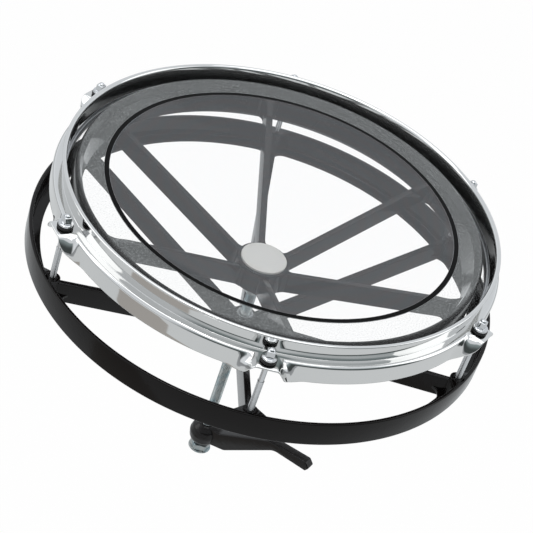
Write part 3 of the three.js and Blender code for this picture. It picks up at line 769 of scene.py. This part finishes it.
def upper_frame(finish):
    arms = arms_mesh(
        finish, ring=168.6, hub=23.4, hub_corner=6.0, top=(77.8, 8.5), bottom=(97.6, 26.8),
        levels=(88.4, 30.0), lean=0.13, turn=UPPER_TURN,
    )
    ring = below([
        (168.0, 30.0, 0.9), (171.5, 34.0, 2.0), (177.4, 34.0, 0.9), (177.4, 3.9, 1.6),
        (174.6, 0.95, 0.7), (174.0, 1.7, 0.3), (171.0, 8.0, 2.0),
    ])
    hub = below([
        (8.6, 88.4, 0.4), (23.4, 88.4, 1.5), (23.4, 66.5, 1.3), (20.7, 66.5, 0.3),
        (20.7, 67.4, 0.1), (12.5, 67.4, 0.3), (12.5, 75.5, 0.3), (8.6, 75.5, 0.3),
    ])
    meshes = [arms, turned(ring, 360), turned(hub, 96)]
    piece("bearing_edge_frame", meshes, finish, "drum", ["upper_frame"], 40)


def flanged_ring():
    """Outer ring with a flange inside its bottom edge, rounded off beside each arm."""
    inner = 192.0
    radius, height = facing_out(below([
        (inner, 84.0, 0.7), (205.0, 84.0, 1.1), (205.0, 61.6, 1.1), (201.8, 61.6, 0.8),
        (201.8, 81.0, 2.0), (inner, 81.0, 0.7),
    ])).T
    angles = crowded_angles(120)
    from_arm = np.abs((angles + SECTOR / 2) % SECTOR - SECTOR / 2)
    centre_reach = inner - ARM_CORNER
    centre = math.asin((ARM_HALF + ARM_CORNER) / centre_reach)
    turn = np.clip(centre - from_arm, 0, centre)
    bow = np.maximum(ARM_CORNER ** 2 - (centre_reach * np.sin(turn)) ** 2, 0)
    edge = np.maximum(centre_reach * np.cos(turn) + np.sqrt(bow), centre_reach - 0.6)
    on_lip = radius < inner + 2
    return ring_of(swept(radius + (edge - inner)[:, None] * on_lip, height, angles))


def boss_gusset(bottom, top):
    """Web that runs a rod boss out into the ring's wall on both sides, its edges rounded."""
    wide, narrow, back, front = 15.0, 3.4, -5.6, 4.4
    plan = facing_out(rounded([
        (front, -wide, 0.4), (front, wide, 0.4), (back, narrow, 3.0), (back, -narrow, 3.0),
    ]))
    low, high = PLAY - bottom, PLAY - top
    levels = ((0.5, low), (0.0, low + 0.5), (0.0, high - 0.8), (0.25, high - 0.25), (0.8, high))
    return stacked([at_height(inset_outline(plan, inset), level) for inset, level in levels])


def lower_frame(finish):
    arms = arms_mesh(
        finish, ring=203.4, hub=10.5, hub_corner=2.0, top=(135.5, 63.5), bottom=(157.2, 82.1),
        levels=(151.0, 82.1), lean=0.0, turn=0.0,
    )
    hub = below([
        (7.7, 151.0, 0.3), (19.4, 151.0, 1.4), (19.4, 138.0, 1.3), (10.5, 138.0, 1.6),
        (10.5, 129.2, 0.8), (7.7, 129.2, 0.3),
    ])
    boss = below([(3.2, 84.0, 0.4), (6.5, 84.0, 0.8), (6.5, 61.6, 0.8), (3.2, 61.6, 0.4)])
    one_boss = joined([turned(boss, 48), boss_gusset(84.0, 61.9)])
    bosses = [moved(one_boss, (ROD_CIRCLE, 0, 0), i * SECTOR) for i in range(ARMS)]
    meshes = [arms, flanged_ring(), turned(hub, 96)] + bosses
    piece("rod_carrying_frame", meshes, finish, "cage", ["lower_frame"], 40)


# ---------------------------------------------------------------- head

FILM = 0.5  # thickness


def head(finish):
    section = below(
        [
            (0.0, FILM, 0), (174.6, FILM, 1.2), (180.0 - FILM, 4.9, 4.0), (182.8 - FILM, 18.0, 0),
            (182.8, 18.0, 0), (180.3, 4.6, 4.5), (174.9, 0.0, 1.7), (0.0, 0.0, 0),
        ],
        8,
    )
    plain = turned_solid(dense(section, 4.0), 720)
    crimped = ripple_rule().made(
        plain, finish, count=180.0,
        **metres(depth=0.9, low=PLAY - 18.5, shallow=PLAY - 16.5, high=PLAY - 9.0, top=PLAY - 6.0),
    )
    piece("head", [crimped], finish, "drum", ["head_film"], 50)


def hub_cap(finish):
    section = below([(0.0, 67.1, 0), (20.4, 67.1, 0.2), (20.4, 64.7, 0.6), (0.0, 64.7, 0)])
    piece("hub_disc", [turned_solid(section, 128)], finish, "drum", ["hub_cap"])


def flesh_hoop(finish):
    section = below([(183.6, 20.2, 0.8), (192.0, 20.2, 0.8), (192.0, 12.6, 0.8), (183.6, 12.6, 0.3)])
    piece("head_ring", [turned(section, 240)], finish, "cage", ["flesh_hoop"])


# ---------------------------------------------------------------- tension rods


def key_rod(finish):
    """A key screw upwards from its shank: collar, square neck and domed square head."""
    shapes = [  # rise, half width and corner
        (-32.0, 2.35, 2.35), (-7.0, 2.35, 2.35), (-7.0, 5.85, 5.85), (-6.8, 6.1, 6.1),
        (-5.8, 6.1, 6.1), (-5.45, 5.95, 5.95), (-5.2, 5.4, 5.4), (-5.1, 4.4, 4.4),
        (-5.05, 3.5, 1.4), (-4.8, 3.2, 0.8), (-4.6, 3.17, 0.65), (0.3, 3.17, 0.65),
        (0.55, 3.08, 0.7), (0.7, 2.85, 1.0), (0.78, 2.6, 2.0), (1.1, 2.5, 2.5),
        (1.7, 2.25, 2.25), (2.2, 1.75, 1.75), (2.5, 1.05, 1.05), (2.58, 0.35, 0.35),
    ]
    loops = [at_height(rounded_square(half, corner), PLAY + rise) for rise, half, corner in shapes]
    thread = thread_rule(270, 22).made(
        None, finish,
        **metres(low=PLAY - 79.5, high=PLAY - 30.6, radius=2.75, depth=0.13, pitch=1.058, runout=2.0),
    )
    return joined([stacked(loops), thread])


def rod_washer():
    """A nylon washer under a rod's collar, grooved round its edge."""
    low = PLAY - 9.7
    section = rounded([
        (2.65, low, 0.1), (6.4, low, 0.3), (6.7, low + 0.5, 0.3), (6.4, low + 1.2, 0.2),
        (6.7, low + 1.9, 0.3), (6.4, low + 2.4, 0.3), (2.65, low + 2.4, 0.1),
    ])
    return turned(section, 48)


def tension_rods(rod_finish, washer_finish):
    rod, washer = key_rod(rod_finish), rod_washer()
    for number in range(1, ARMS + 1):
        place = ((ROD_CIRCLE, 0, 0), (number - 1) * SECTOR)
        piece(
            f"key_rod_{number}", [moved(rod, *place)], rod_finish, f"rod_{number}",
            [f"tension_rod_{number}"],
        )
        piece(
            f"rod_seat_{number}", [moved(washer, *place)], washer_finish, "cage",
            [f"rod_washer_{number}"],
        )


# ---------------------------------------------------------------- post and its hardware

BORE = 5.06  # radius of a hole over the post's thread
CLEAR = 0.3  # gap between neighbours on the post, under the upper hub


def nut_mesh(across_flats, low, high, chamfer=0.9):
    """Hexagonal nut with chamfered corners and a bore."""
    flat = across_flats / 2
    corner = flat / math.cos(math.pi / 6)
    chamfered = [(0.0, flat * 0.97), (chamfer * 0.35, flat + chamfer * 0.45), (chamfer, corner)]
    levels = [(low + step, limit) for step, limit in chamfered]
    levels += [(high - step, limit) for step, limit in chamfered[::-1]]
    outside = [at_height(hexagon(across_flats, limit), level) for level, limit in levels]
    hole = circle(np.arctan2(outside[0][:, 1], outside[0][:, 0]), BORE)
    rows = np.array(outside + [at_height(hole, high), at_height(hole, low)])
    return mesh_of(rows, [tuple(reversed(face)) for face in woven(rows, True, True)])


def center_post(finish):
    thread = thread_rule(1150, 40).made(
        None, finish,
        **metres(low=0.0, high=PLAY - 72.0, radius=4.76, depth=0.72, pitch=1.5875, runout=1.6),
    )
    piece("threaded_post", [thread], finish, "post", ["center_post"], 60)


def bearing(zinc, bush):
    """Nut, washer and bush under the upper hub."""
    bush_flange, washer_thick, nut_tall = 1.9, 1.5, 9.7
    flange = PLAY - 88.4 - CLEAR - bush_flange
    top = flange - CLEAR
    low = top - washer_thick
    nut_top = low - CLEAR
    nut = nut_mesh(16.4, nut_top - nut_tall, nut_top)
    piece("bearing_nut", [nut], zinc, "post", ["shoulder_nut"], 30)
    ring = rounded([(BORE, low, 0.1), (9.0, low, 0.3), (9.0, top, 0.3), (BORE, top, 0.1)])
    piece("bearing_washer", [turned(ring, 64)], zinc, "post", ["thrust_washer"])
    sleeve = rounded([
        (BORE, flange, 0.2), (11.0, flange, 0.4), (11.0, flange + bush_flange, 0.3),
        (8.2, flange + bush_flange, 0.1), (8.2, PLAY - 75.8, 0.3), (BORE, PLAY - 75.8, 0.2),
    ])
    piece("hub_bush", [turned(sleeve, 64)], bush, "drum", ["thrust_bush"])


def thread_insert(steel):
    section = below([(BORE, 151.0, 0.3), (7.4, 151.0, 0.3), (7.4, 128.4, 0.4), (BORE, 128.4, 0.4)])
    piece("threaded_insert", [turned(section, 64)], steel, "cage", ["thread_insert"])


def foot_hardware(zinc):
    """Rimmed nut at the post's foot, and the stepped spacer over it."""
    rim = rounded([
        (BORE, 3.4, 0.2), (10.0, 3.4, 0.5), (10.9, 4.35, 0.4), (8.8, 5.3, 0.5), (BORE, 5.3, 0.1),
    ])
    nut = joined([nut_mesh(17.6, 4.4, 11.7), turned(rim, 96)])
    piece("foot_nut", [nut], zinc, "post", ["flange_nut"], 30)
    spacer = rounded([
        (BORE, 12.0, 0.1), (8.4, 12.0, 0.3), (8.4, 13.35, 0.3), (7.2, 14.7, 0.3), (BORE, 14.7, 0.1),
    ])
    piece("stepped_spacer", [turned(spacer, 64)], zinc, "post", ["spacer_washer"])


def clamp_arm(foot):
    """The lever's arm in the plane of x and z, with bevelled edges."""
    side = facing_out(rounded(
        [
            (4.0, foot + 2.4, 0), (13.4, foot + 2.4, 3.0), (26.4, foot + 5.6, 9.0),
            (72.5, foot + 41.9, 14.0), (107.2, foot + 42.7, 1.6), (109.8, foot + 47.0, 1.6),
            (105.2, foot + 52.0, 2.4), (65.0, foot + 48.8, 16.0), (16.5, foot + 20.1, 8.0),
            (4.0, foot + 20.1, 0),
        ],
        8,
    ))
    width, edge, steps = 9.8, 1.1, 4
    bevel = []
    for k in range(steps + 1):
        turn = math.pi / 2 * (1 - k / steps)
        bevel.append((-width / 2 + edge * (1 - math.sin(turn)), edge * (1 - math.cos(turn))))
    loops = []
    for place, inset in bevel + [(-place, inset) for place, inset in bevel[::-1]]:
        outline = inset_outline(side, inset)
        loops.append(np.column_stack([outline[:, 0], np.full(len(outline), place), outline[:, 1]]))
    return stacked(loops[::-1])


def lever(finish):
    foot, heading = 15.0, math.radians(-60)
    hub = rounded([
        (BORE, foot, 0.2), (11.4, foot, 0.8), (12.9, foot + 3.2, 3.0), (14.0, foot + 9.6, 6.0),
        (12.2, foot + 15.6, 3.5), (8.2, foot + 19.6, 1.2), (7.1, foot + 20.4, 0.5),
        (BORE, foot + 20.4, 0.2),
    ])
    mesh = moved(joined([clamp_arm(foot), turned(hub, 128)]), turn=heading)
    piece("clamp_handle", [mesh], finish, "lever", ["clamp_lever"], 40)


# ---------------------------------------------------------------- floor, light and camera

WHITE = (1.0, 1.0, 1.0)
AIM = (0.0, 0.0, 0.25)  # where the panels point
PANELS = {  # place, width, height and brightness, of which 1 is white in a mirror
    "left_panel": ((-1.7, 1.1, 1.4), 1.2, 1.6, 1.1),
    "right_panel": ((1.7, -0.9, 1.4), 1.2, 1.6, 1.0),
    "front_panel": ((-0.2, -1.0, 2.8), 1.8, 0.8, 1.2),
    "top_panel": ((0.0, 0.6, 2.8), 2.4, 2.0, 0.9),
    "edge_light": ((-0.35, 0.2, 2.75), 1.3, 0.16, 9.0),
}
ROOM = [  # brightness that a mirror sees, from straight down at 0 to straight up at 1
    (0.0, 0.7), (0.44, 0.4), (0.49, 0.3), (0.5, 0.6), (0.51, 0.85), (0.59, 0.9), (0.78, 0.8),
    (1.0, 0.85),
]
DIM_SIDE = (-0.087, -0.996, 0.0)  # towards the dimmer side of the room


def ray_kinds(t):
    """Whether a ray reaches the camera straight or through glass, and whether by a mirror."""
    rays = t.tree.nodes.new("ShaderNodeLightPath")
    straight = Link(t, rays.outputs["Is Camera Ray"])
    seen = straight.math("MAXIMUM", Link(t, rays.outputs["Is Transmission Ray"]))
    return seen, Link(t, rays.outputs["Is Glossy Ray"])


def studio():
    """White behind the object, an even grey light on it, and a plain room for its mirrors."""
    world = bpy.data.worlds.new("studio")
    world.use_nodes = True
    bpy.context.scene.world = world
    t = Tree(world.node_tree)
    seen, glossy = ray_kinds(t)
    direction = t.add("ShaderNodeTexCoord", {}, out="Generated")
    height = t.parts(direction)[2]
    room = t.add("ShaderNodeValToRGB", {"stops": ROOM}, height * 0.5 + 0.5)
    room = t.mix(room, (0.0, 0.0, 0.0), (0.96, 1.0, 1.045))
    level_part = (1.0 - height * height) ** 0.5
    settings = {"operation": "DOT_PRODUCT"}
    toward = t.add("ShaderNodeVectorMath", settings, direction, DIM_SIDE, out="Value")
    sideways = (toward / level_part).smooth(0.35, 0.7)
    upwards = height.smooth(-0.03, 0.0) * (1.0 - height.smooth(0.57, 0.66))
    dim = t.mix(height.smooth(0.2, 0.6), (0.06, 0.07, 0.07), (0.27, 0.32, 0.33))
    mirrored = t.mix(sideways * upwards, room, dim)
    plain = t.mix(glossy, (0.56, 0.56, 0.56), mirrored)
    background = t.tree.nodes["Background"]
    t.put(background.inputs["Color"], t.mix(seen, plain, WHITE))
    floor()
    for name, (place, wide, tall, brightness) in PANELS.items():
        panel(name, place, wide, tall, brightness)


def floor():
    """Pale floor that takes the object's shadow, with a grey card that only mirrors show."""
    half, level = 8000.0, -900.0
    corners = [(-half, -half), (half, -half), (half, half), (-half, half)]
    mesh = mesh_of([(x, y, level) for x, y in corners], [(0, 1, 2, 3)])
    material = bpy.data.materials.new("pale_floor")
    material.use_nodes = True
    t = Tree(material.node_tree)
    seen, glossy = ray_kinds(t)
    x, y, _ = t.parts(t.add("ShaderNodeTexCoord", {}, out="Object"))
    card = x.within(-2.4, -0.88, edge=0.02) * y.within(-0.57, 0.27, edge=0.02)
    in_metal = t.mix(card, (0.70, 0.725, 0.74), (0.44, 0.42, 0.40))
    pale = t.tree.nodes["Principled BSDF"]
    pale.inputs["Base Color"].default_value = (0.8, 0.8, 0.8, 1)
    pale.inputs["Roughness"].default_value = 0.9
    white = t.add("ShaderNodeEmission", {}, t.mix(seen, in_metal, WHITE), 1.0)
    shadeless = seen.math("MAXIMUM", glossy) * 0.98
    blend = t.add("ShaderNodeMixShader", {}, shadeless, Link(t, pale.outputs[0]), white)
    t.put(t.tree.nodes["Material Output"].inputs["Surface"], blend)
    mesh.materials.append(material)
    ground = bpy.data.objects.new("floor", mesh)
    bpy.context.scene.collection.objects.link(ground)


def panel(name, place, wide, tall, brightness):
    """A soft panel that points at the object."""
    lamp = bpy.data.lights.new(name, "AREA")
    lamp.shape, lamp.size, lamp.size_y = "RECTANGLE", wide, tall
    lamp.energy = brightness * math.pi * wide * tall
    thing = bpy.data.objects.new(name, lamp)
    thing.location = place
    thing.rotation_euler = (Vector(AIM) - Vector(place)).to_track_quat("-Z", "Y").to_euler()
    bpy.context.scene.collection.objects.link(thing)


def camera():
    """The photograph's view, fitted to its hoop, stripe, lower ring and rods."""
    lens = bpy.data.cameras.new("view")
    lens.lens, lens.sensor_width, lens.clip_end = 113.5247, 36.0, 50.0
    thing = bpy.data.objects.new("view", lens)
    thing.location = (-0.72338, -0.919732, 1.097373)
    thing.rotation_euler = Euler([math.radians(a) for a in (51.83305, -15.33333, -26.65925)])
    bpy.context.scene.collection.objects.link(thing)
    bpy.context.scene.camera = thing


# ---------------------------------------------------------------- everything put together


def main():
    bpy.context.scene.view_settings.view_transform = "Standard"
    camera()
    studio()
    chrome, zinc, steel, enamel = chrome_plate(), zinc_plate(), plain_steel(), black_enamel()
    pressed_hoop(chrome)
    upper_frame(enamel)
    lower_frame(enamel)
    head(clear_film())
    hub_cap(cap_plastic())
    flesh_hoop(steel)
    tension_rods(chrome_plate("rod_chrome", (0.66, 0.67, 0.68)), black_nylon())
    center_post(zinc)
    bearing(zinc, grey_bush())
    thread_insert(steel)
    foot_hardware(zinc)
    lever(black_enamel("handle_enamel", gloss=0.12, level=0.34, texture=0.6))
    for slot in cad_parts["retaining_ring"].material_slots:
        slot.material = steel


main()
